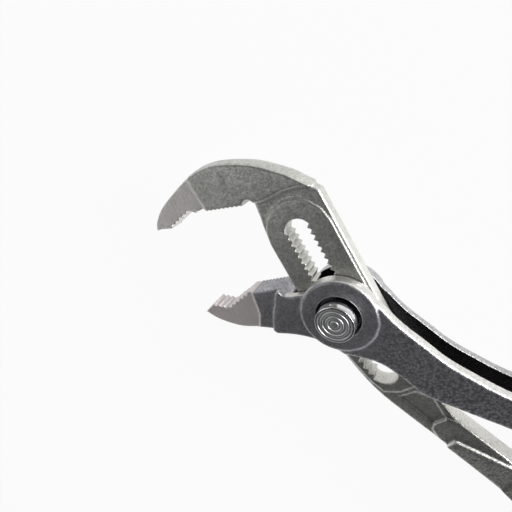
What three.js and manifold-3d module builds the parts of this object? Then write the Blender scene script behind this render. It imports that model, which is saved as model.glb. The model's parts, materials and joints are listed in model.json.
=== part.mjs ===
// Water pump pliers with a push-button box joint, lying flat on their back.
// Millimetres, +Z up. Outlines are drawn from the bolt's axis, with the toothed slot along X,
// and heights from the middle plane of the plate that slides in the joint.
import * as THREE from "three";
import { mergeVertices } from "three/addons/utils/BufferGeometryUtils.js";
import Module from "manifold-3d";

const wasm = await Module();
wasm.setup();

// The bolt's place, from the middle of the tool's outline on the ground.
const BOLT_X = -66.5;
const BOLT_Y = -38.3;

// Thicknesses. A HALF value is measured from the middle plane.
const PLATE_THICKNESS = 6.0;
const SIDE_CLEARANCE = 0.25;
const CHEEK_THICKNESS = 4.2;
const ARM_DROP = 0.7;
const NECK_DROP = 0.75;
const LOWER_JAW_DROP = 1.6;
const LOWER_TIP_DROP = 0.6;
const UPPER_JAW_RISE = 0.6;
const UPPER_TIP_DROP = 0.45;
const BAND_DROP = 0.6;
const PANEL_DROP = 0.4;
const THIN_HANDLE_RISE = 0.1;
const GRIP_WALL = 0.95;
const GRIP_CLEARANCE = 0.2;
const PLATE_HALF = PLATE_THICKNESS / 2;
const WINDOW_HALF = PLATE_HALF + SIDE_CLEARANCE;
const BOSS_HALF = WINDOW_HALF + CHEEK_THICKNESS;
const ARM_HALF = BOSS_HALF - ARM_DROP;
const NECK_HALF = ARM_HALF - NECK_DROP;
const LOWER_JAW_HALF = NECK_HALF - LOWER_JAW_DROP;
const LOWER_TIP_HALF = LOWER_JAW_HALF - LOWER_TIP_DROP;
const UPPER_JAW_HALF = PLATE_HALF + UPPER_JAW_RISE;
const UPPER_TIP_HALF = UPPER_JAW_HALF - UPPER_TIP_DROP;
const BAND_HALF = PLATE_HALF - BAND_DROP;
const THIN_HANDLE_HALF = PLATE_HALF + THIN_HANDLE_RISE;
const HANDLE_HALF = BOSS_HALF - GRIP_WALL;

// Edge rounds and chamfers.
const ARM_ROUND = 0.8;
const BOSS_CHAMFER = 0.6;
const NECK_ROUND = 0.5;
const JAW_ROUND = 0.65;
const TIP_CHAMFER = 0.2;
const BAND_CHAMFER = 0.5;
const LAND_CHAMFER = 0.3;
const HANDLE_ROUND = 2.4;

// Box joint, seen from above.
const BOSS_RADIUS = 11.8;
const PLATE_BELOW = 10.5;
const PLATE_ABOVE = 11.4;
const LAND_INSET = 0.1;
const WINDOW_CLEARANCE = 0.4;
const CLOSE_DEGREES = 5;
const OPEN_DEGREES = 15;

// Toothed slot.
const TOOTH_PITCH = 2.0;
const SLOT_TIP = 3.0;
const SLOT_ROOT = 4.15;
const SLOT_END_RADIUS = 4.4;
const SLOT_TOP = -26.5;
const SLOT_STRAIGHT_END = 16.0;
const SLOT_BEND_RADIUS = 18.0;
const SLOT_BEND_DEGREES = 25;

// Bolt, button and spring.
const FIT = 0.3;
const SEATED = 0.02;
const JOURNAL_SHOULDER = 0.45;
const BOLT_CHAMFER = 0.7;
const SPIGOT_RADIUS = 1.5;
const SPIGOT_LENGTH = 0.8;
const SPIGOT_CLEARANCE = 0.1;
const BUTTON_TRAVEL = 2.3;
const BUTTON_RADIUS = 5.95;
const BUTTON_PROUD = 3.9;
const BUTTON_ROOF = 1.6;
const BUTTON_EDGE = 0.5;
const BUTTON_RINGS = [5.0, 3.5, 2.0];
const RING_WIDTH = 0.9;
const RING_DEPTH = 0.3;
const BUTTON_CLEARANCE = 0.85;
const COUNTERBORE_DEPTH = 3.4;
const SEAT_THICKNESS = 0.4;
const SPRING_RADIUS = 4.35;
const SPRING_WIRE_RADIUS = 0.25;
const SPRING_CURLS = 3;
const BOLT_NECK_RADIUS = SLOT_TIP - FIT;
const JOURNAL_RADIUS = SLOT_ROOT + JOURNAL_SHOULDER;
const COUNTERBORE_RADIUS = BUTTON_RADIUS + BUTTON_CLEARANCE;
const COUNTERBORE_FLOOR = BOSS_HALF - COUNTERBORE_DEPTH;
const SEAT_RADIUS = COUNTERBORE_RADIUS - FIT;
const SEAT_TOP = COUNTERBORE_FLOOR + SEATED + SEAT_THICKNESS;
const BUTTON_TOP = BOSS_HALF + BUTTON_PROUD;
const ROOF = BUTTON_TOP - BUTTON_ROOF;

// Handles: the ends of their centre lines, seen from the bolt, and distances along them.
const OUTER_END_X = 180.0;
const OUTER_END_Y = 118.0;
const INNER_END_X = 184.0;
const INNER_END_Y = 65.5;
const HANDLE_HALF_WIDTH = 4.9;
const OUTER_LINE = { start: [36.2, 24.0], heading: 52, end: [OUTER_END_X, OUTER_END_Y], endHeading: 22 };
const INNER_LINE = { start: [47.8, 11.4], heading: 28.5, end: [INNER_END_X, INNER_END_Y], endHeading: 16.5 };
const WINDOW_END = 22.0;
const OUTER_GRIP_START = 42.0;
const INNER_GRIP_START = 38.0;
const NOSE_START = 3.0;
const NOSE_SPREAD = 18.0;
const NOSE_END = 32.0;
const NOSE_RISE = 1.2;
const NOSE_EDGE = -1.0;
const NOSE_STEPS = 8;
const THICKENING_START = 20.0;
const THICKENING_LENGTH = 8.0;

// Jaw gripping faces, each from one end to the other.
const UPPER_TIP_FACE = { from: [-45.5, -40.2], to: [-47.3, -30.0], teeth: 5, depth: 0.95 };
const UPPER_REAR_FACE = { from: [-45.9, -28.4], to: [-40.9, -12.2], teeth: 11, depth: 0.65 };
const LOWER_TIP_FACE = { from: [-16.2, -42.0], to: [-13.4, -37.0], teeth: 3, depth: 0.9 };
const LOWER_MID_FACE = { from: [-13.4, -37.0], to: [-15.9, -26.8], teeth: 5, depth: 0.95 };
const LOWER_REAR_FACE = { from: [-15.7, -25.4], to: [-13.8, -15.0], teeth: 8, depth: 0.6 };
const TOOTH_FLAT = 0.04;

const steel = (color) => new THREE.MeshStandardMaterial({ color, roughness: 0.55, metalness: 0.75 });
const plastic = (color) => new THREE.MeshStandardMaterial({ color, roughness: 0.6, metalness: 0 });
const radians = THREE.MathUtils.degToRad;
const polar = (radius, degrees) => [radius * Math.cos(radians(degrees)), radius * Math.sin(radians(degrees))];
const shareAt = (curve, distance) => curve.getUtoTmapping(0, distance);

// The centre line of a handle: a smooth curve between two points with given headings.
function handleCurve({ start, heading, end, endHeading }) {
  const first = new THREE.Vector2(...start);
  const last = new THREE.Vector2(...end);
  const pull = first.distanceTo(last) / 3;
  const second = new THREE.Vector2(...polar(pull, heading)).add(first);
  const third = new THREE.Vector2(...polar(-pull, endHeading)).add(last);
  return new THREE.CubicBezierCurve(first, second, third, last);
}

// A closed solid from a geometry: shared corners merged, collapsed faces dropped, faces turned outwards.
function solid(geometry) {
  geometry.deleteAttribute("normal");
  geometry.deleteAttribute("uv");
  const merged = mergeVertices(geometry, 1e-4);
  const index = merged.index.array;
  const kept = [];
  for (let i = 0; i < index.length; i += 3) {
    const [a, b, c] = [index[i], index[i + 1], index[i + 2]];
    if (a !== b && b !== c && a !== c) {
      kept.push(a, b, c);
    }
  }
  const vertProperties = new Float32Array(merged.attributes.position.array);
  const made = (order) =>
    new wasm.Manifold(new wasm.Mesh({ numProp: 3, vertProperties, triVerts: new Uint32Array(order) }));
  const first = made(kept);
  return first.volume() > 0 ? first : made([...kept].reverse());
}

const join = (...solids) => solids.reduce((whole, next) => whole.add(next));
const cut = (whole, ...tools) => tools.reduce((rest, tool) => rest.subtract(tool), whole);

function piece(name, shape, material) {
  const made = shape.getMesh();
  const geometry = new THREE.BufferGeometry();
  geometry.setAttribute("position", new THREE.BufferAttribute(made.vertProperties.slice(), 3));
  geometry.setIndex(new THREE.BufferAttribute(made.triVerts.slice(), 1));
  geometry.computeVertexNormals();
  const mesh = new THREE.Mesh(geometry, material);
  mesh.name = name;
  return mesh;
}

// An outline from runs of points: a "curve" run is smooth through its points, a "line" run is straight.
function outline(...runs) {
  const shape = new THREE.Shape();
  runs.forEach(([kind, ...points], run) => {
    const [first, ...rest] = points.map(([x, y]) => new THREE.Vector2(x, y));
    if (run === 0) {
      shape.moveTo(first.x, first.y);
    } else {
      shape.lineTo(first.x, first.y);
    }
    if (kind === "curve") {
      shape.splineThru(rest);
    } else {
      rest.forEach((p) => shape.lineTo(p.x, p.y));
    }
  });
  return shape;
}

// A flat slab, symmetric about the middle plane, its edges rounded inside the outline.
function slab(shape, half, round, roundSteps = 1) {
  const geometry = new THREE.ExtrudeGeometry(shape, {
    depth: 2 * (half - round),
    curveSegments: 3,
    bevelThickness: round,
    bevelSize: round,
    bevelOffset: -round,
    bevelSegments: roundSteps,
  });
  geometry.translate(0, 0, round - half);
  return solid(geometry);
}

// A prism between two heights.
function prism(shape, bottom, top) {
  const geometry = new THREE.ExtrudeGeometry(shape, { depth: top - bottom, bevelEnabled: false });
  geometry.translate(0, 0, bottom);
  return solid(geometry);
}

// A turned solid about the bolt's axis, from [radius, height] points.
function turned(profile, sides = 32) {
  const points = profile.map(([r, z]) => new THREE.Vector2(r, z));
  const geometry = new THREE.LatheGeometry(points, sides);
  geometry.rotateX(Math.PI / 2);
  return solid(geometry);
}

const cylinder = (radius, bottom, top, sides = 32) =>
  turned([[0, bottom], [radius, bottom], [radius, top], [0, top]], sides);

// A strip of even width along a centre line, with a round far end and, if asked, a round near end.
function strip(line, { start = 0, samples = 14, grow = 0, roundStart = false } = {}) {
  const curve = handleCurve(line);
  const from = shareAt(curve, start);
  const reach = HANDLE_HALF_WIDTH + grow;
  const left = [];
  const right = [];
  for (let i = 0; i <= samples; i += 1) {
    const t = from + ((1 - from) * i) / samples;
    const point = curve.getPoint(t);
    const along = curve.getTangent(t);
    left.push([point.x - along.y * reach, point.y + along.x * reach]);
    right.push([point.x + along.y * reach, point.y - along.x * reach]);
  }
  const cap = (t, turn) => {
    const point = curve.getPoint(t);
    const heading = curve.getTangent(t).angle() + turn;
    return [45, 0, -45].map((d) => {
      const angle = heading + radians(d);
      return [point.x + reach * Math.cos(angle), point.y + reach * Math.sin(angle)];
    });
  };
  const near = roundStart ? cap(from, Math.PI) : [];
  return outline(["line", ...left, ...cap(1, 0), ...right.reverse(), ...near]);
}

// The sawtooth cutter for one gripping face. side is +1 when the jaw lies to the left of from-to.
function toothCutter({ from, to, teeth, depth }, side) {
  const a = new THREE.Vector2(...from);
  const b = new THREE.Vector2(...to);
  const along = b.clone().sub(a);
  const inward = new THREE.Vector2(-along.y, along.x).normalize().multiplyScalar(side);
  const at = (share, into) => {
    const p = a.clone().addScaledVector(along, share).addScaledVector(inward, into);
    return [p.x, p.y];
  };
  const clear = -2 * depth;
  const points = [at(0, clear), at(0, TOOTH_FLAT)];
  for (let i = 0; i < teeth; i += 1) {
    points.push(at((i + 0.5) / teeth, depth), at((i + 1) / teeth, TOOTH_FLAT));
  }
  points.push(at(1, clear));
  return prism(outline(["line", ...points]), -BOSS_HALF, BOSS_HALF);
}

// A point of the slot, s along its centre line from the bolt and w to the side of it.
function slotPoint(s, w) {
  if (s <= SLOT_STRAIGHT_END) {
    return [s, w];
  }
  const turn = (s - SLOT_STRAIGHT_END) / SLOT_BEND_RADIUS;
  const radius = SLOT_BEND_RADIUS - w;
  return [SLOT_STRAIGHT_END + radius * Math.sin(turn), SLOT_BEND_RADIUS - radius * Math.cos(turn)];
}

// Half width of the toothed slot, counted in half pitches from the bolt: roots and tips take turns.
const slotHalfWidth = (step) => (step % 2 === 0 ? SLOT_ROOT : SLOT_TIP);

// The slot's outline: a round top end that the teeth run into, teeth down one side, a round bottom end,
// and teeth back up.
function slotOutline() {
  const half = TOOTH_PITCH / 2;
  const bottom = SLOT_STRAIGHT_END + SLOT_BEND_RADIUS * radians(SLOT_BEND_DEGREES);
  const first = Math.ceil(SLOT_TOP / half - 1.5);
  const last = Math.floor(bottom / half - 0.5);
  const points = [];
  const end = (s, heading, sweep) => {
    const [x, y] = slotPoint(s, 0);
    for (let d = sweep; d >= -sweep; d -= 22.5) {
      const [across, up] = polar(SLOT_END_RADIUS, heading + d);
      points.push([x + across, y + up]);
    }
  };
  end(SLOT_TOP, 180, 67.5);
  for (let step = first; step <= last; step += 1) {
    points.push(slotPoint(step * half, slotHalfWidth(step)));
  }
  end(bottom, SLOT_BEND_DEGREES, 90);
  for (let step = last; step >= first; step -= 1) {
    points.push(slotPoint(step * half, -slotHalfWidth(step)));
  }
  return outline(["line", ...points]);
}

// The bolt's toothed section fits the slot's teeth with a little play, and clears the plate when pressed.
function boltTeeth() {
  const half = TOOTH_PITCH / 2;
  const reach = Math.floor((JOURNAL_RADIUS - FIT) / half);
  const steps = Array.from({ length: 2 * reach + 1 }, (_, i) => i - reach);
  const side = (sign) => steps.map((step) => [step * half, sign * (slotHalfWidth(step) - FIT)]);
  const top = BUTTON_TRAVEL - PLATE_HALF - SPIGOT_CLEARANCE;
  const toothed = prism(outline(["line", ...side(-1), ...side(1).reverse()]), -BOSS_HALF, top);
  return toothed.intersect(cylinder(JOURNAL_RADIUS - SPIGOT_CLEARANCE, -WINDOW_HALF - FIT, BOSS_HALF));
}

// The arm of the outer lever runs from the boss to the handle.
function outerArm() {
  const inside = BOSS_RADIUS - ARM_ROUND;
  return outline(
    ["line", [0, 0], polar(inside, 108)],
    ["curve", [1.8, 12.8], [8.4, 14.9], [16.8, 19.0], [22.5, 21.8], [28.9, 26.4], [36.3, 32.5], [46.0, 42.8]],
    ["line", [50.5, 47.4], [57.4, 40.5]],
    ["curve", [52.6, 35.6], [46.0, 28.6], [37.7, 18.7], [31.3, 11.6], [24.5, 8.1], [17.7, 3.5], [12.6, -5.0]],
    ["line", polar(inside, -45)],
  );
}

function outerNeck() {
  const inside = BOSS_RADIUS - NECK_ROUND;
  return outline(
    ["line", [0, 0], polar(inside, 214), [-10.5, -12.6], [-11.4, -14.1], [-13.3, -14.8], [-12.9, -16.0]],
    ["line", [-9.9, -18.1], [-7.1, -20.5], [-1.2, -24.1]],
    ["curve", [0.2, -23.2], [2.9, -16.1], [6.5, -10.6], [12.2, -5.4]],
  );
}

function lowerJaw() {
  return outline(
    ["line", [-9.9, -13.0], LOWER_REAR_FACE.to, LOWER_REAR_FACE.from, [-11.0, -26.4], [-7.4, -27.3]],
    ["line", [-3.2, -30.0], [-2.0, -27.0], [-0.4, -23.4], [2.0, -16.0]],
  );
}

function lowerTip() {
  return outline(
    ["line", [-13.6, -22.0], LOWER_REAR_FACE.from, LOWER_MID_FACE.to],
    ["line", LOWER_MID_FACE.from, LOWER_TIP_FACE.from],
    ["curve", [-14.6, -46.8], [-10.1, -43.2], [-5.5, -36.8], [-3.3, -30.6], [-2.2, -26.5]],
  );
}

function upperJaw() {
  return outline(
    ["line", [-38.4, 6.8], [-39.3, 2.0], [-39.3, -5.0], [-40.0, -8.0], [-41.7, -9.1]],
    ["line", [-42.0, -10.4], UPPER_REAR_FACE.to, [-44.7, -24.7], [-56.3, -25.2]],
    ["curve", [-56.5, -22.5], [-56.3, -17.5], [-54.7, -11.5], [-49.7, -2.1], [-42.8, 5.7]],
    ["line", [-36.9, 10.2]],
  );
}

function upperTip() {
  return outline(
    ["line", [-54.5, -23.5], [-46.0, -23.0], UPPER_REAR_FACE.from, UPPER_TIP_FACE.to, UPPER_TIP_FACE.from],
    ["line", [-45.4, -40.6], [-46.9, -44.9], [-47.2, -46.8]],
    ["curve", [-48.2, -46.2], [-50.0, -44.5], [-52.8, -39.5], [-55.1, -31.0], [-56.3, -25.2]],
  );
}

// The thin band of the inner lever, from its jaw past the slot to its handle.
function innerBand() {
  return outline(
    ["line", [-40.5, -6.0]],
    ["curve", [-39.9, -8.3], [-36.5, -8.9], [-32.3, -9.9], [-28.0, -PLATE_BELOW]],
    ["curve", [-8.0, -PLATE_BELOW], [4.0, -9.5], [14.0, -7.5], [25.0, -5.2], [33.0, -2.4], [44.0, 3.2]],
    ["line", [54.0, 8.6], [58.0, 11.4], [54.0, 19.8]],
    ["curve", [49.0, 17.4], [42.6, 14.5], [30.0, 12.8], [6.0, PLATE_ABOVE]],
    ["line", [-35.0, PLATE_ABOVE], [-41.0, 6.0]],
  );
}

// The raised land round the slot that the cheeks slide on.
function slotLand() {
  const edge = PLATE_BELOW - LAND_INSET;
  const topEnd = [90, 112.5, 135, 157.5, 180, 202.5, 225, 247.5, 270].map((degrees) => {
    const [x, y] = polar(edge, degrees);
    return [SLOT_TOP + x, y];
  });
  return outline(
    ["line", ...topEnd],
    ["curve", [-8.0, -edge], [4.0, -9.0], [14.0, -6.6], [25.0, -3.9], [30.6, -1.4]],
    ["line", [31.6, 3.4], [30.0, 11.6], [6.0, edge]],
  );
}

function innerPanel() {
  return outline(["line", [33.4, 2.2], [44.8, 7.9], [43.6, 12.2], [36.0, 11.8], [32.6, 8.0]]);
}

// The wall of the window on the jaw side leaves room for the plate at both ends of its swing.
function windowCut() {
  const reach = PLATE_BELOW + WINDOW_CLEARANCE;
  const wall = (x, degrees) => (x * Math.sin(radians(degrees)) - reach) / Math.cos(radians(degrees));
  const slopes = Math.tan(radians(CLOSE_DEGREES)) + Math.tan(radians(OPEN_DEGREES));
  const middle = (wall(0, OPEN_DEGREES) - wall(0, CLOSE_DEGREES)) / slopes;
  const curve = handleCurve(OUTER_LINE);
  const share = shareAt(curve, WINDOW_END);
  const end = curve.getPoint(share);
  const along = curve.getTangent(share);
  const across = (d) => [end.x - along.y * d, end.y + along.x * d];
  const wide = 3 * HANDLE_HALF_WIDTH;
  const jawSide = -2.5 * BOSS_RADIUS;
  const handleSide = 2 * BOSS_RADIUS;
  return outline([
    "line",
    [jawSide, wall(jawSide, CLOSE_DEGREES)],
    [middle, wall(middle, CLOSE_DEGREES)],
    [handleSide, wall(handleSide, -OPEN_DEGREES)],
    [end.x + handleSide, wall(handleSide, -OPEN_DEGREES)],
    across(-wide),
    across(wide),
    [jawSide, end.y],
  ]);
}

// The nose of the inner handle starts narrow, by the handle's lower edge, and spreads to its full width.
function handleNose() {
  const curve = handleCurve(INNER_LINE);
  const upper = [];
  const lower = [];
  for (let i = 0; i <= NOSE_STEPS; i += 1) {
    const along = THREE.MathUtils.lerp(NOSE_START, NOSE_END, i / NOSE_STEPS);
    const share = shareAt(curve, along);
    const point = curve.getPoint(share);
    const heading = curve.getTangent(share);
    const spread = Math.min((along - NOSE_START) / NOSE_SPREAD, 1);
    const above = THREE.MathUtils.lerp(NOSE_EDGE, HANDLE_HALF_WIDTH, spread);
    upper.push([point.x - heading.y * above, point.y + heading.x * above]);
    lower.push([point.x + heading.y * HANDLE_HALF_WIDTH, point.y - heading.x * HANDLE_HALF_WIDTH]);
  }
  return outline(["line", ...upper, ...lower.reverse()]);
}

// The thick part of the inner handle grows out of the thin one over a short ramp.
function thickening() {
  const curve = handleCurve(INNER_LINE);
  const share = shareAt(curve, THICKENING_START);
  const start = curve.getPoint(share);
  const length = curve.getLength();
  const ramp = [[0, THIN_HANDLE_HALF], [THICKENING_LENGTH, HANDLE_HALF], [length, length]];
  const below = ramp.map(([along, half]) => [along, -half]);
  const shape = outline(["line", ...below, ...ramp.reverse()]);
  const geometry = new THREE.ExtrudeGeometry(shape, { depth: 2 * length, bevelEnabled: false });
  geometry.translate(0, 0, -length);
  geometry.rotateX(Math.PI / 2);
  geometry.rotateZ(curve.getTangent(share).angle());
  geometry.translate(start.x, start.y, 0);
  return solid(geometry);
}

function boss() {
  const rim = BOSS_RADIUS - BOSS_CHAMFER;
  const side = BOSS_HALF - BOSS_CHAMFER;
  const profile = [[0, -BOSS_HALF], [rim, -BOSS_HALF], [BOSS_RADIUS, -side]];
  profile.push([BOSS_RADIUS, side], [rim, BOSS_HALF], [0, BOSS_HALF]);
  return turned(profile, 48);
}

function outerLever() {
  const body = join(
    slab(outerArm(), ARM_HALF, ARM_ROUND, 2),
    boss(),
    slab(outerNeck(), NECK_HALF, NECK_ROUND, 2),
    slab(lowerJaw(), LOWER_JAW_HALF, JAW_ROUND, 2),
    slab(lowerTip(), LOWER_TIP_HALF, TIP_CHAMFER),
    slab(strip(OUTER_LINE), HANDLE_HALF, HANDLE_ROUND, 2),
  );
  return cut(
    body,
    prism(windowCut(), -WINDOW_HALF, WINDOW_HALF),
    cylinder(COUNTERBORE_RADIUS, COUNTERBORE_FLOOR, BOSS_HALF + FIT, 40),
    cylinder(BOLT_NECK_RADIUS + FIT, 0, BOSS_HALF, 24),
    cylinder(JOURNAL_RADIUS + FIT, -BOSS_HALF - FIT, 0),
    toothCutter(LOWER_TIP_FACE, -1),
    toothCutter(LOWER_MID_FACE, -1),
    toothCutter(LOWER_REAR_FACE, -1),
  );
}

function innerLever() {
  const body = join(
    slab(innerBand(), BAND_HALF, BAND_CHAMFER),
    slab(slotLand(), PLATE_HALF, LAND_CHAMFER),
    slab(upperJaw(), UPPER_JAW_HALF, JAW_ROUND, 2),
    slab(upperTip(), UPPER_TIP_HALF, TIP_CHAMFER),
    slab(strip(INNER_LINE, { roundStart: true }), THIN_HANDLE_HALF, JAW_ROUND, 2),
    slab(handleNose(), THIN_HANDLE_HALF + NOSE_RISE, JAW_ROUND, 2),
    slab(strip(INNER_LINE), HANDLE_HALF, HANDLE_ROUND, 2).intersect(thickening()),
  );
  return cut(
    body,
    prism(slotOutline(), -BOSS_HALF, BOSS_HALF),
    prism(innerPanel(), BAND_HALF - PANEL_DROP, BOSS_HALF),
    prism(innerPanel(), -BOSS_HALF, PANEL_DROP - BAND_HALF),
    toothCutter(UPPER_TIP_FACE, 1),
    toothCutter(UPPER_REAR_FACE, 1),
  );
}

// The bolt stays above the ground when the button is pressed.
function jointBolt() {
  const bottom = BUTTON_TRAVEL + FIT - BOSS_HALF;
  const shaft = turned([
    [0, bottom],
    [JOURNAL_RADIUS - BOLT_CHAMFER, bottom],
    [JOURNAL_RADIUS, bottom + BOLT_CHAMFER],
    [JOURNAL_RADIUS, -WINDOW_HALF],
    [BOLT_NECK_RADIUS, -WINDOW_HALF],
    [BOLT_NECK_RADIUS, ROOF - SEATED],
    [SPIGOT_RADIUS, ROOF - SEATED],
    [SPIGOT_RADIUS, ROOF + SPIGOT_LENGTH],
    [0, ROOF + SPIGOT_LENGTH],
  ]);
  return shaft.add(boltTeeth());
}

// The button is a cup over the spring, with raised rings on its face.
function pushButton() {
  const bore = SPIGOT_RADIUS + SPIGOT_CLEARANCE;
  const boreEnd = ROOF + SPIGOT_LENGTH + SPIGOT_CLEARANCE;
  const skirt = SPRING_RADIUS + SPRING_WIRE_RADIUS + FIT;
  const foot = SEAT_TOP + BUTTON_TRAVEL + FIT;
  const slope = RING_DEPTH / 2;
  const profile = [
    [0, boreEnd],
    [bore, boreEnd],
    [bore, ROOF],
    [skirt, ROOF],
    [skirt, foot],
    [BUTTON_RADIUS, foot],
    [BUTTON_RADIUS, BUTTON_TOP - BUTTON_EDGE],
    [BUTTON_RADIUS - BUTTON_EDGE * 0.3, BUTTON_TOP - BUTTON_EDGE * 0.3],
    [BUTTON_RADIUS - BUTTON_EDGE, BUTTON_TOP],
  ];
  for (const ring of BUTTON_RINGS) {
    profile.push([ring, BUTTON_TOP], [ring - slope, BUTTON_TOP - RING_DEPTH]);
    profile.push([ring - RING_WIDTH + slope, BUTTON_TOP - RING_DEPTH], [ring - RING_WIDTH, BUTTON_TOP]);
  }
  profile.push([0, BUTTON_TOP]);
  return turned(profile, 40);
}

function springSeat() {
  const bottom = COUNTERBORE_FLOOR + SEATED;
  const bore = BOLT_NECK_RADIUS + FIT;
  const rim = [[SEAT_RADIUS, bottom], [SEAT_RADIUS, SEAT_TOP]];
  return turned([[bore, bottom], ...rim, [bore, SEAT_TOP], [bore, bottom]]);
}

// The spring is one unbroken tube of 8 steps of 5 sides a curl, closed at both ends.
function buttonSpring() {
  const stepsPerCurl = 8;
  const sides = 5;
  const steps = stepsPerCurl * SPRING_CURLS;
  const low = SEAT_TOP + SPRING_WIRE_RADIUS + SEATED;
  const high = ROOF - SPRING_WIRE_RADIUS - SEATED;
  const middle = (i) => {
    const [x, y] = polar(SPRING_RADIUS, (360 * i) / stepsPerCurl);
    return new THREE.Vector3(x, y, THREE.MathUtils.lerp(low, high, i / steps));
  };
  const points = [];
  for (let i = 0; i <= steps; i += 1) {
    const centre = middle(i);
    const outward = new THREE.Vector3(centre.x, centre.y, 0).normalize();
    for (let k = 0; k < sides; k += 1) {
      const [out, up] = polar(SPRING_WIRE_RADIUS, (360 * k) / sides);
      const point = centre.clone().addScaledVector(outward, out);
      points.push(point.x, point.y, point.z + up);
    }
  }
  const faces = [];
  for (let i = 0; i < steps; i += 1) {
    for (let k = 0; k < sides; k += 1) {
      const a = i * sides + k;
      const b = i * sides + ((k + 1) % sides);
      faces.push(a, b, a + sides, b, b + sides, a + sides);
    }
  }
  const far = steps * sides;
  for (let k = 1; k < sides - 1; k += 1) {
    faces.push(0, k + 1, k, far, far + k, far + k + 1);
  }
  let leastGap = Infinity;
  for (let i = 0; i <= steps; i += 1) {
    for (let k = i + stepsPerCurl / 2; k <= steps; k += 1) {
      leastGap = Math.min(leastGap, middle(i).distanceTo(middle(k)) - 2 * SPRING_WIRE_RADIUS);
    }
  }
  console.log(`button_spring: least gap between curls ${leastGap.toFixed(2)} mm`);
  const geometry = new THREE.BufferGeometry();
  geometry.setAttribute("position", new THREE.Float32BufferAttribute(points, 3));
  geometry.setIndex(faces);
  return solid(geometry);
}

// A dipped sleeve over a handle, open where the handle runs in.
function grip(line, start) {
  const outside = strip(line, { start, samples: 12, grow: GRIP_WALL });
  const inside = strip(line, { grow: GRIP_CLEARANCE });
  return cut(
    slab(outside, HANDLE_HALF + GRIP_WALL, HANDLE_ROUND + GRIP_WALL, 3),
    slab(inside, HANDLE_HALF + GRIP_CLEARANCE, HANDLE_ROUND, 2),
  );
}

const pliers = new THREE.Group();
pliers.position.set(BOLT_X, BOLT_Y, BOSS_HALF);
pliers.add(
  piece("outer_lever", outerLever(), steel(0x55565a)),
  piece("inner_lever", innerLever(), steel(0x5c5d5f)),
  piece("joint_bolt", jointBolt(), steel(0x74767a)),
  piece("push_button", pushButton(), steel(0xa6a9ad)),
  piece("button_spring", buttonSpring(), steel(0x8d8f92)),
  piece("spring_seat", springSeat(), steel(0x8a8c8f)),
  piece("outer_grip", grip(OUTER_LINE, OUTER_GRIP_START), plastic(0x1b1d20)),
  piece("inner_grip", grip(INNER_LINE, INNER_GRIP_START), plastic(0x1b1d20)),
);

export default pliers;
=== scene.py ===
# Push-button water pump pliers lying on their back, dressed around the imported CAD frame.
# Metres, +Z up. Sizes named in mm are seen from the bolt's axis and from the plate's middle plane.
import json
import math

import bmesh
import bpy
import numpy as np
from mathutils import Matrix, Vector, noise


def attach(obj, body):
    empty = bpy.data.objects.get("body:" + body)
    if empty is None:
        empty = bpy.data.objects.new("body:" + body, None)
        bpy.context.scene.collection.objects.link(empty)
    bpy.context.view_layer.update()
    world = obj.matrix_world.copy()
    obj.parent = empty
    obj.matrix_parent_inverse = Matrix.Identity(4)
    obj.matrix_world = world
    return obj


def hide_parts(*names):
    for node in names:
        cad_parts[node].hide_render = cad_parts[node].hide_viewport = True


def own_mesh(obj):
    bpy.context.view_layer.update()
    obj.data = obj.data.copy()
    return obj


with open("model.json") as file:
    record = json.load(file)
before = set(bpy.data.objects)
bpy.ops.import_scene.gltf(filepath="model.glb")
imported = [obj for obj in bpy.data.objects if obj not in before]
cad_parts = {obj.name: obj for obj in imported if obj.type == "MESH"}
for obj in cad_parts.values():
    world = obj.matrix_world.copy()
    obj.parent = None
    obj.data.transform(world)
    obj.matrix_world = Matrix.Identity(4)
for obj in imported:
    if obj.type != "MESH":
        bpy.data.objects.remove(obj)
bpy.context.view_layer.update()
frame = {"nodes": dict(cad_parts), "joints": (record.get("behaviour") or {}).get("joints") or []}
scene = bpy.context.scene
scene.view_settings.view_transform = "Standard"

# Places on the forgings, in mm from the bolt
BOLT = np.array(frame["joints"][0]["pos_m"]) * 1000
UPPER_JAW_FACES = [((-45.5, -40.2), (-47.3, -30.0)), ((-45.9, -28.4), (-40.9, -12.2))]
LOWER_JAW_FACES = [
    ((-16.2, -42.0), (-13.4, -37.0)),
    ((-13.4, -37.0), (-15.9, -26.8)),
    ((-15.7, -25.4), (-13.8, -15.0)),
]
UPPER_GROUND_LINE = [(-56.3, -25.2), (-44.7, -24.7)]
LOWER_GROUND_LINE = [(-15.7, -25.4), (-11.0, -26.4), (-7.4, -27.3), (-3.2, -30.0)]
UPPER_TIP_SPAN, LOWER_TIP_SPAN = (-70, -35), (-25, 5)
UPPER_JAW_HALF, UPPER_TIP_HALF = 3.6, 3.15
LOWER_JAW_HALF, LOWER_TIP_HALF = 4.4, 3.8
TIP_REACH, GROUND_BEVEL, TOOTH_REACH = 60, 1.2, 1.3
SLOT_FROM, SLOT_TO, SLOT_EDGE = -32.0, 26.0, 5.3
SLOT_BEND_FROM, SLOT_BEND_RADIUS = 16, 18
PLATE_FROM, PLATE_TO = -35, 50
UPPER_JAW_TO, INNER_HANDLE_FROM = -34, 46
ARM_SKIN_FROM, ARM_BACK_FROM, ARM_PEBBLE_FROM = 8, 12, 14
BOSS_RADIUS = 11.8
COUNTERBORE_RADIUS = 6.8
WINDOW_HALF = 3.25


# Distances and zones, for points in mm from the bolt
def distance_to_face(points, face):
    start, end = np.array(face[0]), np.array(face[1])
    along = end - start
    share = np.clip((points[:, :2] - start) @ along / (along @ along), 0, 1)
    return np.linalg.norm(points[:, :2] - start - share[:, None] * along, axis=1)


def near_faces(points, faces, reach):
    least = np.min([distance_to_face(points, face) for face in faces], axis=0)
    return np.clip(1 - (least - reach) / 0.5, 0, 1)


def past_line(points, line):
    xs, ys = zip(*line)
    return points[:, 1] - np.interp(points[:, 0], xs, ys)


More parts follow.
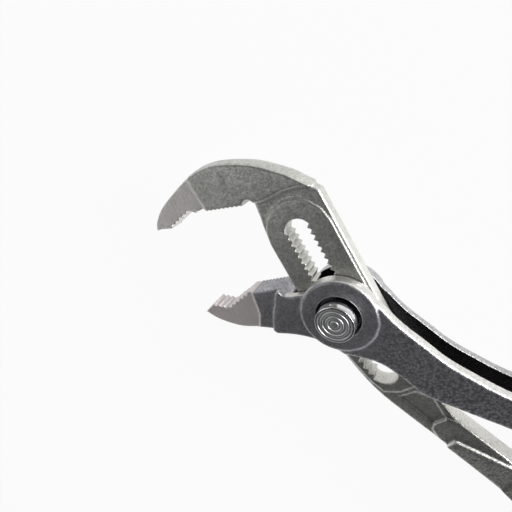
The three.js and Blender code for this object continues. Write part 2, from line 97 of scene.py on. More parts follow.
def between(values, low, high, ease):
    return np.clip((values - low) / ease + 0.5, 0, 1) * np.clip((high - values) / ease + 0.5, 0, 1)


def rising(values, start, span):
    return np.clip((values - start) / span, 0, 1)


def ground_tip(points, line, span):
    tip = between(past_line(points, line), -TIP_REACH, GROUND_BEVEL, 0.25)
    return tip * between(points[:, 0], *span, 0.5)


def upper_ground(points):
    return ground_tip(points, UPPER_GROUND_LINE, UPPER_TIP_SPAN)


def lower_ground(points):
    return ground_tip(points, LOWER_GROUND_LINE, LOWER_TIP_SPAN)


def slot_zone(points):
    bend = np.clip(points[:, 0] - SLOT_BEND_FROM, 0, None) ** 2 / (2 * SLOT_BEND_RADIUS)
    across = between(points[:, 1] - bend, -SLOT_EDGE, SLOT_EDGE, 0.5)
    return across * between(points[:, 0], SLOT_FROM, SLOT_TO, 0.5)


def round_bolt(points):
    return np.hypot(points[:, 0], points[:, 1])


def along_arm(points):
    return points[:, 0] + points[:, 1]


# How far each zone of a forging is rounded, from 0, crisp, to 1, fully eased
def inner_ease(points):
    crisp = np.maximum(slot_zone(points), near_faces(points, UPPER_JAW_FACES, TOOTH_REACH))
    joint = between(points[:, 0], PLATE_FROM, PLATE_TO, 1)
    return 1 - 0.94 * np.maximum(np.maximum(crisp, 0.7 * joint), 0.85 * upper_ground(points))


def outer_ease(points):
    teeth = near_faces(points, LOWER_JAW_FACES, TOOTH_REACH)
    crisp = np.maximum(teeth, 0.85 * lower_ground(points))
    boss = between(round_bolt(points), 0, BOSS_RADIUS + 0.6, 0.5)
    window = between(points[:, 2], -WINDOW_HALF - 0.6, WINDOW_HALF + 0.6, 0.4)
    return 1 - 0.86 * np.maximum(crisp, np.maximum(0.75 * boss, 0.6 * window))


def outer_back_ease(points):
    return rising(along_arm(points), ARM_BACK_FROM, 6) * rising(-points[:, 2], 4, 1)


# Hammered and blasted skin of the forgings, in mm along the normal
INNER_DIMPLE, INNER_DEPTH, INNER_DRAFT = 1.1, 0.022, 0.6
OUTER_DIMPLE, OUTER_DEPTH, ARM_EXTRA_DEPTH = 1.25, 0.024, 0.03


def blasted_skin(points, size, depth):
    near = points / size
    return depth * np.array([noise.fractal(Vector(p), 0.9, 2.1, 3) for p in near])


# The upper jaw's walls also have forging draft: they stand out towards the parting line
def inner_draft(points, facing):
    jaw = rising(-points[:, 0], -UPPER_JAW_TO, 3) * (1 - near_faces(points, UPPER_JAW_FACES, 2.0))
    wall = np.clip(1 - np.abs(facing[:, 2]) * 1.3, 0, 1)
    parting = np.clip(1 - np.abs(points[:, 2]) / UPPER_JAW_HALF, 0, 1)
    return INNER_DRAFT * jaw * wall * (1 - upper_ground(points)) * parting


def inner_skin(points, facing):
    smooth = np.maximum(upper_ground(points), near_faces(points, UPPER_JAW_FACES, 1.0))
    smooth = np.maximum(smooth, slot_zone(points))
    blasted = blasted_skin(points, INNER_DIMPLE, INNER_DEPTH)
    return inner_draft(points, facing) + blasted * (1 - 0.95 * smooth)


def outer_skin(points, facing):
    smooth = np.maximum(lower_ground(points), near_faces(points, LOWER_JAW_FACES, 1.0))
    smooth = np.maximum(smooth, between(points[:, 2], -WINDOW_HALF - 0.1, WINDOW_HALF + 0.1, 0.1))
    smooth = np.maximum(smooth, between(round_bolt(points), 0, COUNTERBORE_RADIUS + 0.4, 0.3))
    arm = rising(along_arm(points), ARM_SKIN_FROM, 8)
    blasted = blasted_skin(points, OUTER_DIMPLE, OUTER_DEPTH + ARM_EXTRA_DEPTH * arm)
    return blasted * (1 - 0.95 * smooth)


# Painted light, from -1 for painted shade inside the window to 1 for walls painted bright as if lit
def walls(facing):
    return np.clip((0.7 - np.abs(facing[:, 2])) / 0.3, 0, 1)


def inner_painted_light(points, facing):
    # Walls painted bright as if lit, more towards the handle, not on the jaw faces or the ground tip
    towards_handle = np.clip((points[:, 0] + 65) / 60, 0.1, 1)
    jaw_face = near_faces(points, UPPER_JAW_FACES, 2.0)
    return walls(facing) * towards_handle * (1 - jaw_face) * (1 - upper_ground(points))


def outer_painted_light(points, facing):
    # Walls painted bright as if lit, more towards the top face, not on the jaw faces or in the bore;
    # painted shade inside the window where it lies above a slanted line
    inside = between(points[:, 2], -WINDOW_HALF - 0.06, WINDOW_HALF + 0.06, 0.08)
    above = rising(points[:, 1] - 0.2 * points[:, 0], -9, 4)
    jaw_face = near_faces(points, LOWER_JAW_FACES, 3.0)
    bore = between(round_bolt(points), 0, COUNTERBORE_RADIUS + 0.8, 0.2)
    front = np.clip((points[:, 2] + WINDOW_HALF) / 2, 0.35, 1)
    return walls(facing) * front * (1 - inside) * (1 - jaw_face) * (1 - bore) - inside * above


# Share of pebbled skin: most on the arm and the handle, little on the jaws and the joint
def inner_pebble(points):
    return 0.15 + 0.4 * rising(points[:, 0], INNER_HANDLE_FROM, 8)


def outer_pebble(points):
    return 0.1 + 0.5 * rising(along_arm(points), ARM_PEBBLE_FROM, 8)


# The step down to a ground jaw tip is a short bevel, given as heights in mm
def bevelled(points, line, span, jaw_half, tip_half):
    into = past_line(points, line)
    slope = tip_half + (jaw_half - tip_half) * rising(into, 0, GROUND_BEVEL)
    inside = (points[:, 0] > span[0]) & (points[:, 0] < span[1])
    inside &= (into < GROUND_BEVEL) & (into > -0.3)
    reach = np.abs(points[:, 2])
    return np.where(inside & (reach > slope), np.sign(points[:, 2]) * slope, points[:, 2])


def upper_bevel(points):
    return bevelled(points, UPPER_GROUND_LINE, UPPER_TIP_SPAN, UPPER_JAW_HALF, UPPER_TIP_HALF)


def lower_bevel(points):
    return bevelled(points, LOWER_GROUND_LINE, LOWER_TIP_SPAN, LOWER_JAW_HALF, LOWER_TIP_HALF)


# Meshes as arrays, in mm
def coordinates(mesh):
    values = np.empty(len(mesh.vertices) * 3)
    mesh.vertices.foreach_get("co", values)
    return values.reshape(-1, 3) * 1000


def normals(mesh):
    values = np.empty(len(mesh.vertices) * 3, np.float32)
    mesh.vertex_normals.foreach_get("vector", values)
    return values.reshape(-1, 3).astype(float)


def edge_ends(mesh):
    values = np.empty(len(mesh.edges) * 2, np.int32)
    mesh.edges.foreach_get("vertices", values)
    return values.reshape(-1, 2)


def set_coordinates(mesh, values):
    mesh.vertices.foreach_set("co", (values / 1000).astype(np.float32).ravel())
    mesh.update()


def neighbour_mean(values, ends, count):
    total = np.zeros_like(values)
    for k in range(values.shape[1]):
        total[:, k] = np.bincount(ends[:, 0], values[ends[:, 1], k], len(values))
        total[:, k] += np.bincount(ends[:, 1], values[ends[:, 0], k], len(values))
    return total / count[:, None]


def eased(values, ends, amount, rounds):
    count = np.maximum(np.bincount(ends.ravel(), minlength=len(values)), 1)
    for _ in range(rounds):
        values = values + amount[:, None] * (neighbour_mean(values, ends, count) - values)
    return values


def point_values(mesh, name, values):
    attribute = mesh.attributes.new(name, "FLOAT", "POINT")
    attribute.data.foreach_set("value", values.astype(np.float32))


# A mesh with its modifiers applied
def with_modifier(mesh, kind, **settings):
    holder = bpy.data.objects.new("holder", mesh)
    scene.collection.objects.link(holder)
    modifier = holder.modifiers.new(kind.lower(), kind)
    for key, value in settings.items():
        setattr(modifier, key, value)
    applied = holder.evaluated_get(bpy.context.evaluated_depsgraph_get())
    made = bpy.data.meshes.new_from_object(applied)
    bpy.data.objects.remove(holder)
    return made


def even_skin(node, voxel):
    mesh = frame["nodes"][node].data.copy()
    work = bmesh.new()
    work.from_mesh(mesh)
    bmesh.ops.remove_doubles(work, verts=work.verts, dist=1e-7)
    work.to_mesh(mesh)
    work.free()
    return with_modifier(mesh, "REMESH", mode="VOXEL", voxel_size=voxel / 1000)


# How much each point stands out from its surroundings: 1 on a sharp ridge, -1 in a sharp groove
def ridges(values, facing, ends, spacing):
    count = np.maximum(np.bincount(ends.ravel(), minlength=len(values)), 1)
    lift = np.sum((values - neighbour_mean(values, ends, count)) * facing, axis=1) / spacing
    for _ in range(3):
        lift = 0.4 * lift + 0.6 * neighbour_mean(lift[:, None], ends, count)[:, 0]
    return np.clip(lift / 0.12, -1, 1)


# A forging: the CAD solid with an even skin, its edges eased, its surface blasted
def forged(node, voxel, shape, keep):
    mesh = even_skin(node, voxel)
    ends = edge_ends(mesh)
    values = coordinates(mesh)
    for ease, rounds in shape["eases"]:
        values = eased(values, ends, 0.5 * ease(values - BOLT), rounds)
    values[:, 2] = shape["bevel"](values - BOLT) + BOLT[2]
    set_coordinates(mesh, values)
    facing = normals(mesh)
    edge = ridges(values, facing, ends, voxel)
    points = values - BOLT
    values = values + facing * shape["skin"](points, facing)[:, None]
    set_coordinates(mesh, values)
    point_values(mesh, "edge", edge)
    point_values(mesh, "ground", shape["ground"](points))
    point_values(mesh, "pebble", shape["pebble"](points))
    point_values(mesh, "tone", shape["tone"](points, facing))
    return with_modifier(mesh, "DECIMATE", ratio=keep)


EASE_ROUNDS, BACK_EASE_ROUNDS = 14, 70
OUTER_SHAPE = {
    "eases": [(outer_ease, EASE_ROUNDS), (outer_back_ease, BACK_EASE_ROUNDS)],
    "bevel": lower_bevel,
    "skin": outer_skin,
    "ground": lower_ground,
    "pebble": outer_pebble,
    "tone": outer_painted_light,
}
INNER_SHAPE = {
    "eases": [(inner_ease, EASE_ROUNDS)],
    "bevel": upper_bevel,
    "skin": inner_skin,
    "ground": upper_ground,
    "pebble": inner_pebble,
    "tone": inner_painted_light,
}


def dressed(name, mesh, node, body, material):
    piece = bpy.data.objects.new(name, mesh)
    scene.collection.objects.link(piece)
    mesh.materials.clear()
    mesh.materials.append(material)
    mesh.shade_smooth()
    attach(piece, body)
    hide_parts(node)
    return piece


# Turned pieces: a profile of (radius, height, corner radius) in mm, spun about the bolt's axis
def rounded_profile(profile, steps=3):
    points = [np.array(p[:2], float) for p in profile]
    made = []
    for i, corner in enumerate(points):
        radius = profile[i][2] if len(profile[i]) > 2 else 0
        if radius == 0 or i in (0, len(points) - 1):
            made.append(corner)
            continue
        back, ahead = points[i - 1] - corner, points[i + 1] - corner
        reach = min(radius, 0.45 * np.linalg.norm(back), 0.45 * np.linalg.norm(ahead))
        first = corner + back / np.linalg.norm(back) * reach
        last = corner + ahead / np.linalg.norm(ahead) * reach
        for k in range(steps + 1):
            t = k / steps
            made.append((1 - t) ** 2 * first + 2 * t * (1 - t) * corner + t ** 2 * last)
    return made


def turned(profile, sides=128):
    mesh = bpy.data.meshes.new("turned")
    work = bmesh.new()
    line = [work.verts.new((r / 1000, 0, z / 1000)) for r, z in rounded_profile(profile)]
    edges = [work.edges.new(pair) for pair in zip(line, line[1:])]
    bmesh.ops.spin(work, geom=line + edges, axis=(0, 0, 1), angle=math.tau, steps=sides)
    bmesh.ops.remove_doubles(work, verts=work.verts, dist=1e-7)
    bmesh.ops.recalc_face_normals(work, faces=work.faces)
    work.to_mesh(mesh)
    work.free()
    mesh.transform(Matrix.Translation(Vector(BOLT / 1000)))
    return mesh


# Push button: a cup with raised rings on its face, and a cone under its rim
BUTTON_TOP, BUTTON_ROOF, BUTTON_FOOT = 11.35, 9.75, 7.07
BUTTON_RADIUS, SKIRT_RADIUS = 5.95, 4.9
RIM_RADIUS, RIM_FOOT = 5.8, 10.75
CONE_RADIUS, CONE_TOP, CONE_FOOT = 5.35, 10.6, 9.1
SPIGOT_RADIUS, SPIGOT_TOP = 1.6, 10.65
RINGS = [5.0, 3.5, 2.0]
RING_WIDTH, RING_DEPTH, RING_SLOPE = 0.9, 0.3, 0.14


def button_profile():
    profile = [
        (0, SPIGOT_TOP),
        (SPIGOT_RADIUS, SPIGOT_TOP),
        (SPIGOT_RADIUS, BUTTON_ROOF),
        (SKIRT_RADIUS, BUTTON_ROOF, 0.2),
        (SKIRT_RADIUS, BUTTON_FOOT, 0.1),
        (BUTTON_RADIUS, BUTTON_FOOT, 0.15),
        (BUTTON_RADIUS, CONE_FOOT, 0.3),
        (CONE_RADIUS, CONE_TOP, 0.1),
        (RIM_RADIUS, RIM_FOOT, 0.15),
        (RIM_RADIUS, BUTTON_TOP, 0.4),
    ]
    floor = BUTTON_TOP - RING_DEPTH
    for ring in RINGS:
        inner = ring - RING_WIDTH
        profile += [(ring, BUTTON_TOP, 0.1), (ring - RING_SLOPE, floor, 0.1)]
        profile += [(inner + RING_SLOPE, floor, 0.1), (inner, BUTTON_TOP, 0.1)]
    return profile + [(0, BUTTON_TOP)]


# Spring seat: a washer on the floor of the counterbore
SEAT_BOTTOM, SEAT_TOP, SEAT_BORE, SEAT_RADIUS = 4.07, 4.47, 3.0, 6.5
SEAT_MIDDLE = (SEAT_BOTTOM + SEAT_TOP) / 2
SEAT_PROFILE = [
    (SEAT_BORE, SEAT_MIDDLE),
    (SEAT_BORE, SEAT_BOTTOM, 0.1),
    (SEAT_RADIUS, SEAT_BOTTOM, 0.1),
    (SEAT_RADIUS, SEAT_TOP, 0.12),
    (SEAT_BORE, SEAT_TOP, 0.1),
    (SEAT_BORE, SEAT_MIDDLE),
]

# Button spring: three curls of round wire between the seat and the button's roof
SPRING_RADIUS, WIRE_RADIUS, CURLS = 4.35, 0.25, 3
SEATING_GAP, SPRING_KEPT = 0.02, 0.55


def spring_mesh(steps_per_curl=40, sides=10):
    steps = steps_per_curl * CURLS
    low = SEAT_TOP + WIRE_RADIUS + SEATING_GAP
    high = BUTTON_ROOF - WIRE_RADIUS - SEATING_GAP
    angles = [math.tau * k / sides for k in range(sides)]
    up = Vector((0, 0, 1))
    work = bmesh.new()
    hoops = []
    for i in range(steps + 1):
        turn = math.tau * i / steps_per_curl
        out = Vector((math.cos(turn), math.sin(turn), 0))
        centre = out * SPRING_RADIUS + up * (low + (high - low) * i / steps)
        hoop = [centre + WIRE_RADIUS * (math.cos(a) * out + math.sin(a) * up) for a in angles]
        hoops.append([work.verts.new(p / 1000) for p in hoop])
    for near, far in zip(hoops, hoops[1:]):
        for k in range(sides):
            work.faces.new((near[k], near[(k + 1) % sides], far[(k + 1) % sides], far[k]))
    work.faces.new(hoops[0])
    work.faces.new(hoops[-1])
    bmesh.ops.recalc_face_normals(work, faces=work.faces)
    mesh = bpy.data.meshes.new("spring")
    work.to_mesh(mesh)
    work.free()
    mesh.transform(Matrix.Translation(Vector(BOLT / 1000)))
    return mesh


# Machined bolt and dipped sleeves: the CAD solid with an even skin and eased edges
def softened(node, voxel, rounds, keep, skin=None):
    mesh = even_skin(node, voxel)
    ends = edge_ends(mesh)
    values = coordinates(mesh)
    values = eased(values, ends, np.full(len(values), 0.5), rounds)
    set_coordinates(mesh, values)
    facing = normals(mesh)
    point_values(mesh, "edge", ridges(values, facing, ends, voxel))
    if skin:
        set_coordinates(mesh, values + facing * skin(values)[:, None])
    return with_modifier(mesh, "DECIMATE", ratio=keep)


# The dip leaves the sleeves slightly uneven
DIP_DEPTH, DIP_WAVE = 0.05, 9


def dip_skin(values):
    return -DIP_DEPTH * np.array([abs(noise.noise(Vector(p / DIP_WAVE))) for p in values])


# Shader nodes
def feed(tree, made, inputs):
    for key, value in inputs.items():
        if isinstance(value, bpy.types.NodeSocket):
            tree.links.new(value, made.inputs[key])
        else:
            made.inputs[key].default_value = value


def node(tree, kind, inputs=None, **settings):
    made = tree.nodes.new("ShaderNode" + kind)
    for key, value in settings.items():
        setattr(made, key, value)
    feed(tree, made, inputs or {})
    return made


def group(name, inputs, outputs):
    made = bpy.data.node_groups.new(name, "ShaderNodeTree")
    for label, kind, value in inputs:
        socket = made.interface.new_socket(label, in_out="INPUT", socket_type="NodeSocket" + kind)
        socket.default_value = value
    for label, kind in outputs:
        made.interface.new_socket(label, in_out="OUTPUT", socket_type="NodeSocket" + kind)
    return made, made.nodes.new("NodeGroupInput").outputs, made.nodes.new("NodeGroupOutput").inputs


def with_inputs(tree, made, inputs):
    holder = tree.nodes.new("ShaderNodeGroup")
    holder.node_tree = made
    feed(tree, holder, inputs)
    return holder.outputs


def maths(tree, operation, a, b, clamp=False):
    return node(tree, "Math", {0: a, 1: b}, operation=operation, use_clamp=clamp).outputs[0]


def scaled(tree, value, share):
    return maths(tree, "MULTIPLY", value, share)


def ranged(tree, value, low, high, to_low, to_high):
    inputs = {"Value": value, "From Min": low, "From Max": high, "To Min": to_low, "To Max": to_high}
    return node(tree, "MapRange", inputs).outputs["Result"]


def mixed(tree, share, a, b):
    return node(tree, "Mix", {0: share, 6: a, 7: b}, data_type="RGBA").outputs[2]


def blended(tree, share, a, b):
    return node(tree, "Mix", {0: share, 2: a, 3: b}, data_type="FLOAT").outputs[0]


def noise_value(tree, position, scale, detail, roughness):
    inputs = {"Vector": position, "Scale": scale, "Detail": detail, "Roughness": roughness}
    return node(tree, "TexNoise", inputs).outputs[0]


# Blasted grain: fine specks of light and dark, with a matching height
def blasted_grain():
    made, given, out = group(
        "blasted_grain",
        [("Position", "Vector", (0, 0, 0)), ("Specks", "Float", 2600.0)],
        [("Shade", "Float"), ("Height", "Float")],
    )
    fine = noise_value(made, given["Position"], given["Specks"], 3.0, 0.7)
    coarse = scaled(made, given["Specks"], 0.3)
    broad = noise_value(made, given["Position"], coarse, 2.0, 0.5)
    shade = blended(made, 0.3, fine, broad)
    made.links.new(ranged(made, shade, 0.3, 0.7, 0.0, 1.0), out["Shade"])
    made.links.new(shade, out["Height"])
    return made


# Pebbled skin: the larger dimples of a hammered and blasted arm; its shade is lighter on the raised
# centres, a painted highlight on the bumps
def pebbled_skin():
    made, given, out = group(
        "pebbled_skin",
        [("Position", "Vector", (0, 0, 0)), ("Dimples", "Float", 1100.0)],
        [("Shade", "Float"), ("Height", "Float")],
    )
    inputs = {"Vector": given["Position"], "Scale": given["Dimples"], "Smoothness": 0.6}
    from_middle = node(made, "TexVoronoi", inputs, feature="SMOOTH_F1").outputs["Distance"]
    # Light at the raised centres: painted highlight on the bumps
    made.links.new(ranged(made, from_middle, 0.15, 0.7, 1.0, 0.0), out["Shade"])
    made.links.new(maths(made, "SUBTRACT", 1.0, from_middle), out["Height"])
    return made


# Ground lines: fine parallel scratches left by the grinding belt
def ground_lines():
    made, given, out = group(
        "ground_lines",
        [("Position", "Vector", (0, 0, 0)), ("Turn", "Vector", (0, 0, 0))],
        [("Shade", "Float"), ("Height", "Float")],
    )
    inputs = {"Vector": given["Position"], "Rotation": given["Turn"], "Scale": (250, 7000, 7000)}
    along_belt = node(made, "Mapping", inputs).outputs[0]
    lines = noise_value(made, along_belt, 1.0, 4.0, 0.6)
    made.links.new(ranged(made, lines, 0.3, 0.7, 0.0, 1.0), out["Shade"])
    made.links.new(lines, out["Height"])
    return made


# Edge wear and painted shading: ridges brightened unevenly, on the forgings partly wear and partly
# painted highlight, and grooves darkened as painted shade
def edge_wear():
    made, given, out = group(
        "edge_wear",
        [("Edge", "Float", 0.0), ("Position", "Vector", (0, 0, 0)), ("Break", "Float", 500.0)],
        [("Bright", "Float"), ("Dull", "Float")],
    )
    patches = noise_value(made, given["Position"], given["Break"], 3.0, 0.5)
    uneven = ranged(made, patches, 0.3, 0.7, 0.35, 1.0)
    bright = maths(made, "MULTIPLY", ranged(made, given["Edge"], 0.25, 0.95, 0.0, 1.0), uneven)
    made.links.new(bright, out["Bright"])
    made.links.new(ranged(made, given["Edge"], -0.2, -0.9, 0.0, 1.0), out["Dull"])
    return made


# Handling film: broad patches of oil and dust
def handling_film():
    made, given, out = group(
        "handling_film",
        [("Position", "Vector", (0, 0, 0)), ("Patches", "Float", 60.0)],
        [("Film", "Float")],
    )
    patches = noise_value(made, given["Position"], given["Patches"], 4.0, 0.6)
    made.links.new(ranged(made, patches, 0.35, 0.65, 0.0, 1.0), out["Film"])
    return made


GRAIN = blasted_grain()
PEBBLE = pebbled_skin()
LINES = ground_lines()
WEAR_AND_SHADING = edge_wear()
FILM = handling_film()


def new_material(name):
    material = bpy.data.materials.new(name)
    material.use_nodes = True
    tree = material.node_tree
    shader = tree.nodes["Principled BSDF"]
    position = node(tree, "TexCoord").outputs["Object"]
    return material, tree, shader, position


def surface_value(tree, name):
    return node(tree, "Attribute", attribute_name=name).outputs["Fac"]


def set_height(tree, shader, height, strength, distance):
    bump = node(tree, "Bump", {"Height": height, "Strength": strength, "Distance": distance})
    tree.links.new(bump.outputs[0], shader.inputs["Normal"])


# Colours shared by both forgings
# Painted highlight: the colour of walls painted bright as if lit
PAINTED_LIT_WALL = (0.8, 0.79, 0.75, 1)
# Ridges: part wear, part painted highlight
WORN_AND_HIGHLIT_EDGE = (0.62, 0.62, 0.61, 1)
# Grooves: painted shade
PAINTED_GROOVE_SHADE = (0.05, 0.05, 0.052, 1)
# Painted shade: near black inside the window between the cheeks
PAINTED_WINDOW_SHADE = (0.03, 0.03, 0.031, 1)


# Forged steel: blasted body, ground jaw tip, edges brighter from wear and painted highlight, painted
# shade in grooves and inside the window, walls painted bright as if lit
def forged_steel(name, dark, light, ground_dark, ground_light, turn):
    material, tree, shader, position = new_material(name)
    grain = with_inputs(tree, GRAIN, {"Position": position, "Specks": 1400.0})
    pebble = with_inputs(tree, PEBBLE, {"Position": position, "Dimples": 1350.0})
    lines = with_inputs(tree, LINES, {"Position": position, "Turn": turn})
    edge = surface_value(tree, "edge")
    wear_and_shading = with_inputs(tree, WEAR_AND_SHADING, {"Edge": edge, "Position": position, "Break": 420.0})
    film = with_inputs(tree, FILM, {"Position": position, "Patches": 70.0})
    ground = surface_value(tree, "ground")
    pebbled = surface_value(tree, "pebble")
    speckle = blended(tree, pebbled, grain["Shade"], pebble["Shade"])
    body = mixed(tree, speckle, dark, light)
    body = mixed(tree, scaled(tree, film["Film"], 0.25), body, dark)
    tone = surface_value(tree, "tone")
    # Painted highlight: walls painted bright as if lit, where the attribute is above 0, broken up by
    # the speckle
    lit_wall_share = maths(tree, "MULTIPLY", tone, ranged(tree, speckle, 0, 1, 0.55, 1.0), clamp=True)
    body = mixed(tree, lit_wall_share, body, PAINTED_LIT_WALL)
    tip = mixed(tree, lines["Shade"], ground_dark, ground_light)
    colour = mixed(tree, ground, body, tip)
    # Ridges lighter, part wear and part painted highlight
    colour = mixed(tree, scaled(tree, wear_and_shading["Bright"], 0.55), colour, WORN_AND_HIGHLIT_EDGE)
    # Grooves darkened as painted shade
    colour = mixed(tree, scaled(tree, wear_and_shading["Dull"], 0.5), colour, PAINTED_GROOVE_SHADE)
    # Painted shade inside the window, where the attribute is below 0
    colour = mixed(tree, ranged(tree, tone, 0, -1, 0.0, 1.0), colour, PAINTED_WINDOW_SHADE)
    tree.links.new(colour, shader.inputs["Base Color"])
    body_rough = ranged(tree, grain["Shade"], 0, 1, 0.5, 0.36)
    tip_rough = ranged(tree, lines["Shade"], 0, 1, 0.42, 0.3)
    rough = blended(tree, ground, body_rough, tip_rough)
    rough = maths(tree, "SUBTRACT", rough, scaled(tree, wear_and_shading["Bright"], 0.12))
    tree.links.new(rough, shader.inputs["Roughness"])
    shader.inputs["Metallic"].default_value = 0.9
    height = blended(tree, pebbled, grain["Height"], pebble["Height"])
    set_height(tree, shader, blended(tree, ground, height, lines["Height"]), 0.6, 0.00025)
    return material


# Bright turned steel of the button, machined steel of the bolt, drawn wire
FACE_TO, SIDE_FROM = 5.2, 5.4


def turned_steel(name, dark, light, roughness, side_roughness, ring_lines):
    material, tree, shader, position = new_material(name)
    centred = node(tree, "Mapping", {"Vector": position, "Location": tuple(-BOLT / 1000)}).outputs[0]
    apart = node(tree, "SeparateXYZ", {0: centred})
    across = node(tree, "CombineXYZ", {"X": apart.outputs["X"], "Y": apart.outputs["Y"]})
    radius = node(tree, "VectorMath", {0: across.outputs[0]}, operation="LENGTH").outputs["Value"]
    inputs = {"W": scaled(tree, radius, ring_lines), "Scale": 1.0, "Detail": 3.0}
    rings = node(tree, "TexNoise", inputs, noise_dimensions="1D").outputs[0]
    grain = with_inputs(tree, GRAIN, {"Position": position, "Specks": 3200.0})
    film = with_inputs(tree, FILM, {"Position": position, "Patches": 260.0})
    shade = blended(tree, 0.4, rings, grain["Shade"])
    colour = mixed(tree, shade, dark, light)
    colour = mixed(tree, scaled(tree, film["Film"], 0.2), colour, dark)
    tree.links.new(colour, shader.inputs["Base Color"])
    face = ranged(tree, film["Film"], 0, 1, roughness, roughness + 0.1)
    side = ranged(tree, radius, FACE_TO / 1000, SIDE_FROM / 1000, 0.0, 1.0)
    tree.links.new(blended(tree, side, face, side_roughness), shader.inputs["Roughness"])
    shader.inputs["Metallic"].default_value = 1.0
    set_height(tree, shader, shade, 0.2, 0.00005)
    return material


# Dipped plastic: low gloss, a fine skin and a little dust
RUBBED_PLASTIC = (0.09, 0.092, 0.095, 1)


def dipped_plastic(name, dark, light):
    material, tree, shader, position = new_material(name)
    grain = with_inputs(tree, GRAIN, {"Position": position, "Specks": 1500.0})
    film = with_inputs(tree, FILM, {"Position": position, "Patches": 90.0})
    edge = surface_value(tree, "edge")
    wear_and_shading = with_inputs(tree, WEAR_AND_SHADING, {"Edge": edge, "Position": position, "Break": 300.0})
    colour = mixed(tree, blended(tree, 0.5, grain["Shade"], film["Film"]), dark, light)
    colour = mixed(tree, scaled(tree, wear_and_shading["Bright"], 0.3), colour, RUBBED_PLASTIC)
    tree.links.new(colour, shader.inputs["Base Color"])
    tree.links.new(ranged(tree, film["Film"], 0, 1, 0.42, 0.58), shader.inputs["Roughness"])
    set_height(tree, shader, grain["Height"], 0.035, 0.0001)
    return material


outer_steel = forged_steel("outer_forging", (0.155, 0.152, 0.163, 1), (0.61, 0.601, 0.639, 1),
                           (0.53, 0.49, 0.48, 1), (0.78, 0.725, 0.715, 1), (0, 0, 0.9))
inner_steel = forged_steel("inner_forging", (0.25, 0.252, 0.237, 1), (0.77, 0.775, 0.73, 1),
                           (0.6, 0.58, 0.555, 1), (0.9, 0.87, 0.835, 1), (0, 0, 1.2))
button_steel = turned_steel("button_chrome", (0.54, 0.545, 0.55, 1), (0.88, 0.885, 0.89, 1),
                            0.32, 0.1, 6000.0)
bolt_steel = turned_steel("bolt_machined", (0.26, 0.26, 0.265, 1), (0.46, 0.46, 0.47, 1),
                          0.36, 0.36, 3000.0)
wire_steel = turned_steel("drawn_wire", (0.34, 0.345, 0.35, 1), (0.56, 0.565, 0.57, 1),
                          0.3, 0.3, 2000.0)
sleeve_plastic = dipped_plastic("sleeve_plastic", (0.022, 0.023, 0.025, 1), (0.045, 0.046, 0.049, 1))

# The pieces, each riding on its CAD body: skin grain in mm, share of triangles kept, rounds of easing
FORGING_GRAIN, BOLT_GRAIN, SLEEVE_GRAIN = 0.21, 0.12, 0.4
OUTER_KEPT, INNER_KEPT, BOLT_KEPT, SLEEVE_KEPT = 0.22, 0.25, 0.3, 0.3
BOLT_ROUNDS, SLEEVE_ROUNDS = 3, 40
outer_mesh = forged("outer_lever", FORGING_GRAIN, OUTER_SHAPE, OUTER_KEPT)
dressed("outer_forging", outer_mesh, "outer_lever", "outer_half", outer_steel)
inner_mesh = forged("inner_lever", FORGING_GRAIN, INNER_SHAPE, INNER_KEPT)
dressed("inner_forging", inner_mesh, "inner_lever", "inner_half", inner_steel)
bolt_mesh = softened("joint_bolt", BOLT_GRAIN, BOLT_ROUNDS, BOLT_KEPT)
dressed("bolt", bolt_mesh, "joint_bolt", "push_bolt", bolt_steel)
dressed("button_cap", turned(button_profile()), "push_button", "push_bolt", button_steel)
dressed("seat_washer", turned(SEAT_PROFILE), "spring_seat", "pivot_seat", wire_steel)
coil = dressed("button_coil", spring_mesh(), "button_spring", "pivot_seat", wire_steel)
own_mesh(coil)
for lever in ("outer", "inner"):
    grip, half = lever + "_grip", lever + "_half"
    sleeve_mesh = softened(grip, SLEEVE_GRAIN, SLEEVE_ROUNDS, SLEEVE_KEPT, dip_skin)
    dressed(lever + "_sleeve", sleeve_mesh, grip, half, sleeve_plastic)


# Pale floor, just under the tool
FLOOR_HALF, FLOOR_DROP, PAPER_WHITE = 3, 0.0002, 0.94


def pale_floor():
    mesh = bpy.data.meshes.new("floor")
    work = bmesh.new()
    bmesh.ops.create_grid(work, x_segments=8, y_segments=8, size=FLOOR_HALF)
    work.to_mesh(mesh)
    work.free()
    floor = bpy.data.objects.new("floor", mesh)
    floor.location = (0, 0, -FLOOR_DROP)
    scene.collection.objects.link(floor)
    material, tree, shader, _ = new_material("floor_paper")
    shader.inputs["Base Color"].default_value = (0.93, 0.93, 0.93, 1)
    shader.inputs["Roughness"].default_value = 0.9
    shader.inputs["Specular IOR Level"].default_value = 0.1
    path = node(tree, "LightPath").outputs
    seen = maths(tree, "MAXIMUM", path["Is Camera Ray"], path["Is Glossy Ray"])
    seen = maths(tree, "MAXIMUM", seen, path["Is Transmission Ray"])
    white = node(tree, "Emission", {"Color": (1, 1, 1, 1), "Strength": 1.0})
    share = scaled(tree, seen, PAPER_WHITE)
    paper = node(tree, "MixShader", {0: share, 1: shader.outputs[0], 2: white.outputs[0]})
    tree.links.new(paper.outputs[0], tree.nodes["Material Output"].inputs["Surface"])
    mesh.materials.append(material)


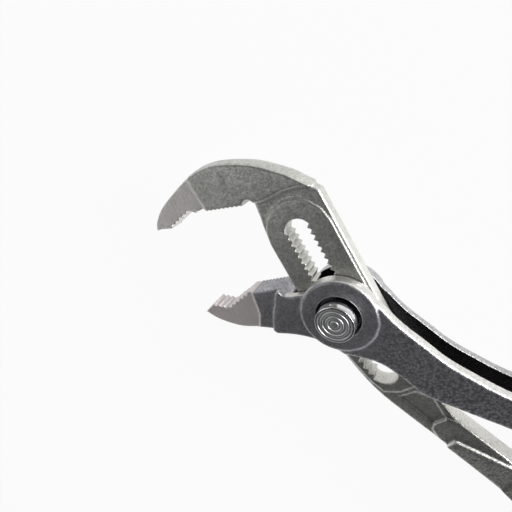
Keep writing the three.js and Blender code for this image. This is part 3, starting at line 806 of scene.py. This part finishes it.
# Soft lamps: name, place, aim, size in metres, power in watts
def soft_lamp(name, place, aim, size, power):
    data = bpy.data.lights.new(name, "AREA")
    data.shape = "RECTANGLE"
    data.size, data.size_y = size
    data.energy = power
    lamp = bpy.data.objects.new(name, data)
    lamp.location = place
    lamp.rotation_euler = (Vector(aim) - Vector(place)).to_track_quat("-Z", "Y").to_euler()
    scene.collection.objects.link(lamp)


def studio():
    pale_floor()
    world = bpy.data.worlds.new("studio")
    world.use_nodes = True
    tree = world.node_tree
    direction = node(tree, "TexCoord").outputs["Generated"]
    height = node(tree, "SeparateXYZ", {0: direction}).outputs["Z"]
    ramp = node(tree, "ValToRGB", {0: height})
    stops = ramp.color_ramp.elements
    stops[0].position, stops[0].color = 0.2, (1, 1, 1, 1)
    stops[1].position, stops[1].color = 0.55, (0.05, 0.05, 0.052, 1)
    tree.links.new(ramp.outputs[0], tree.nodes["Background"].inputs["Color"])
    scene.world = world
    soft_lamp("back_window", (0.05, 0.9, 0.16), (-0.05, 0, 0), (1.0, 0.25), 14)
    soft_lamp("jaw_light", (-0.35, -0.6, 0.9), (-0.1, -0.05, 0), (0.5, 0.5), 1.05)


# Camera at the photograph's place, aimed between the jaws and rolled; in mm and degrees
CAMERA_PLACE, CAMERA_AIM = Vector((-114.705, 18.944, 115.783)), Vector((-91.331, -57.243, 7.45))
CAMERA_ROLL, CAMERA_LENS, CAMERA_FRAME = -134.487, 29.81, 36


def photo_camera():
    data = bpy.data.cameras.new("camera")
    data.sensor_width, data.lens = CAMERA_FRAME, CAMERA_LENS
    data.clip_start, data.clip_end = 0.005, 20
    camera = bpy.data.objects.new("camera", data)
    level = (CAMERA_AIM - CAMERA_PLACE).to_track_quat("-Z", "Y").to_matrix().to_4x4()
    roll = Matrix.Rotation(math.radians(CAMERA_ROLL), 4, "Z")
    camera.matrix_world = Matrix.Translation(CAMERA_PLACE / 1000) @ level @ roll
    scene.collection.objects.link(camera)
    scene.camera = camera


studio()
photo_camera()
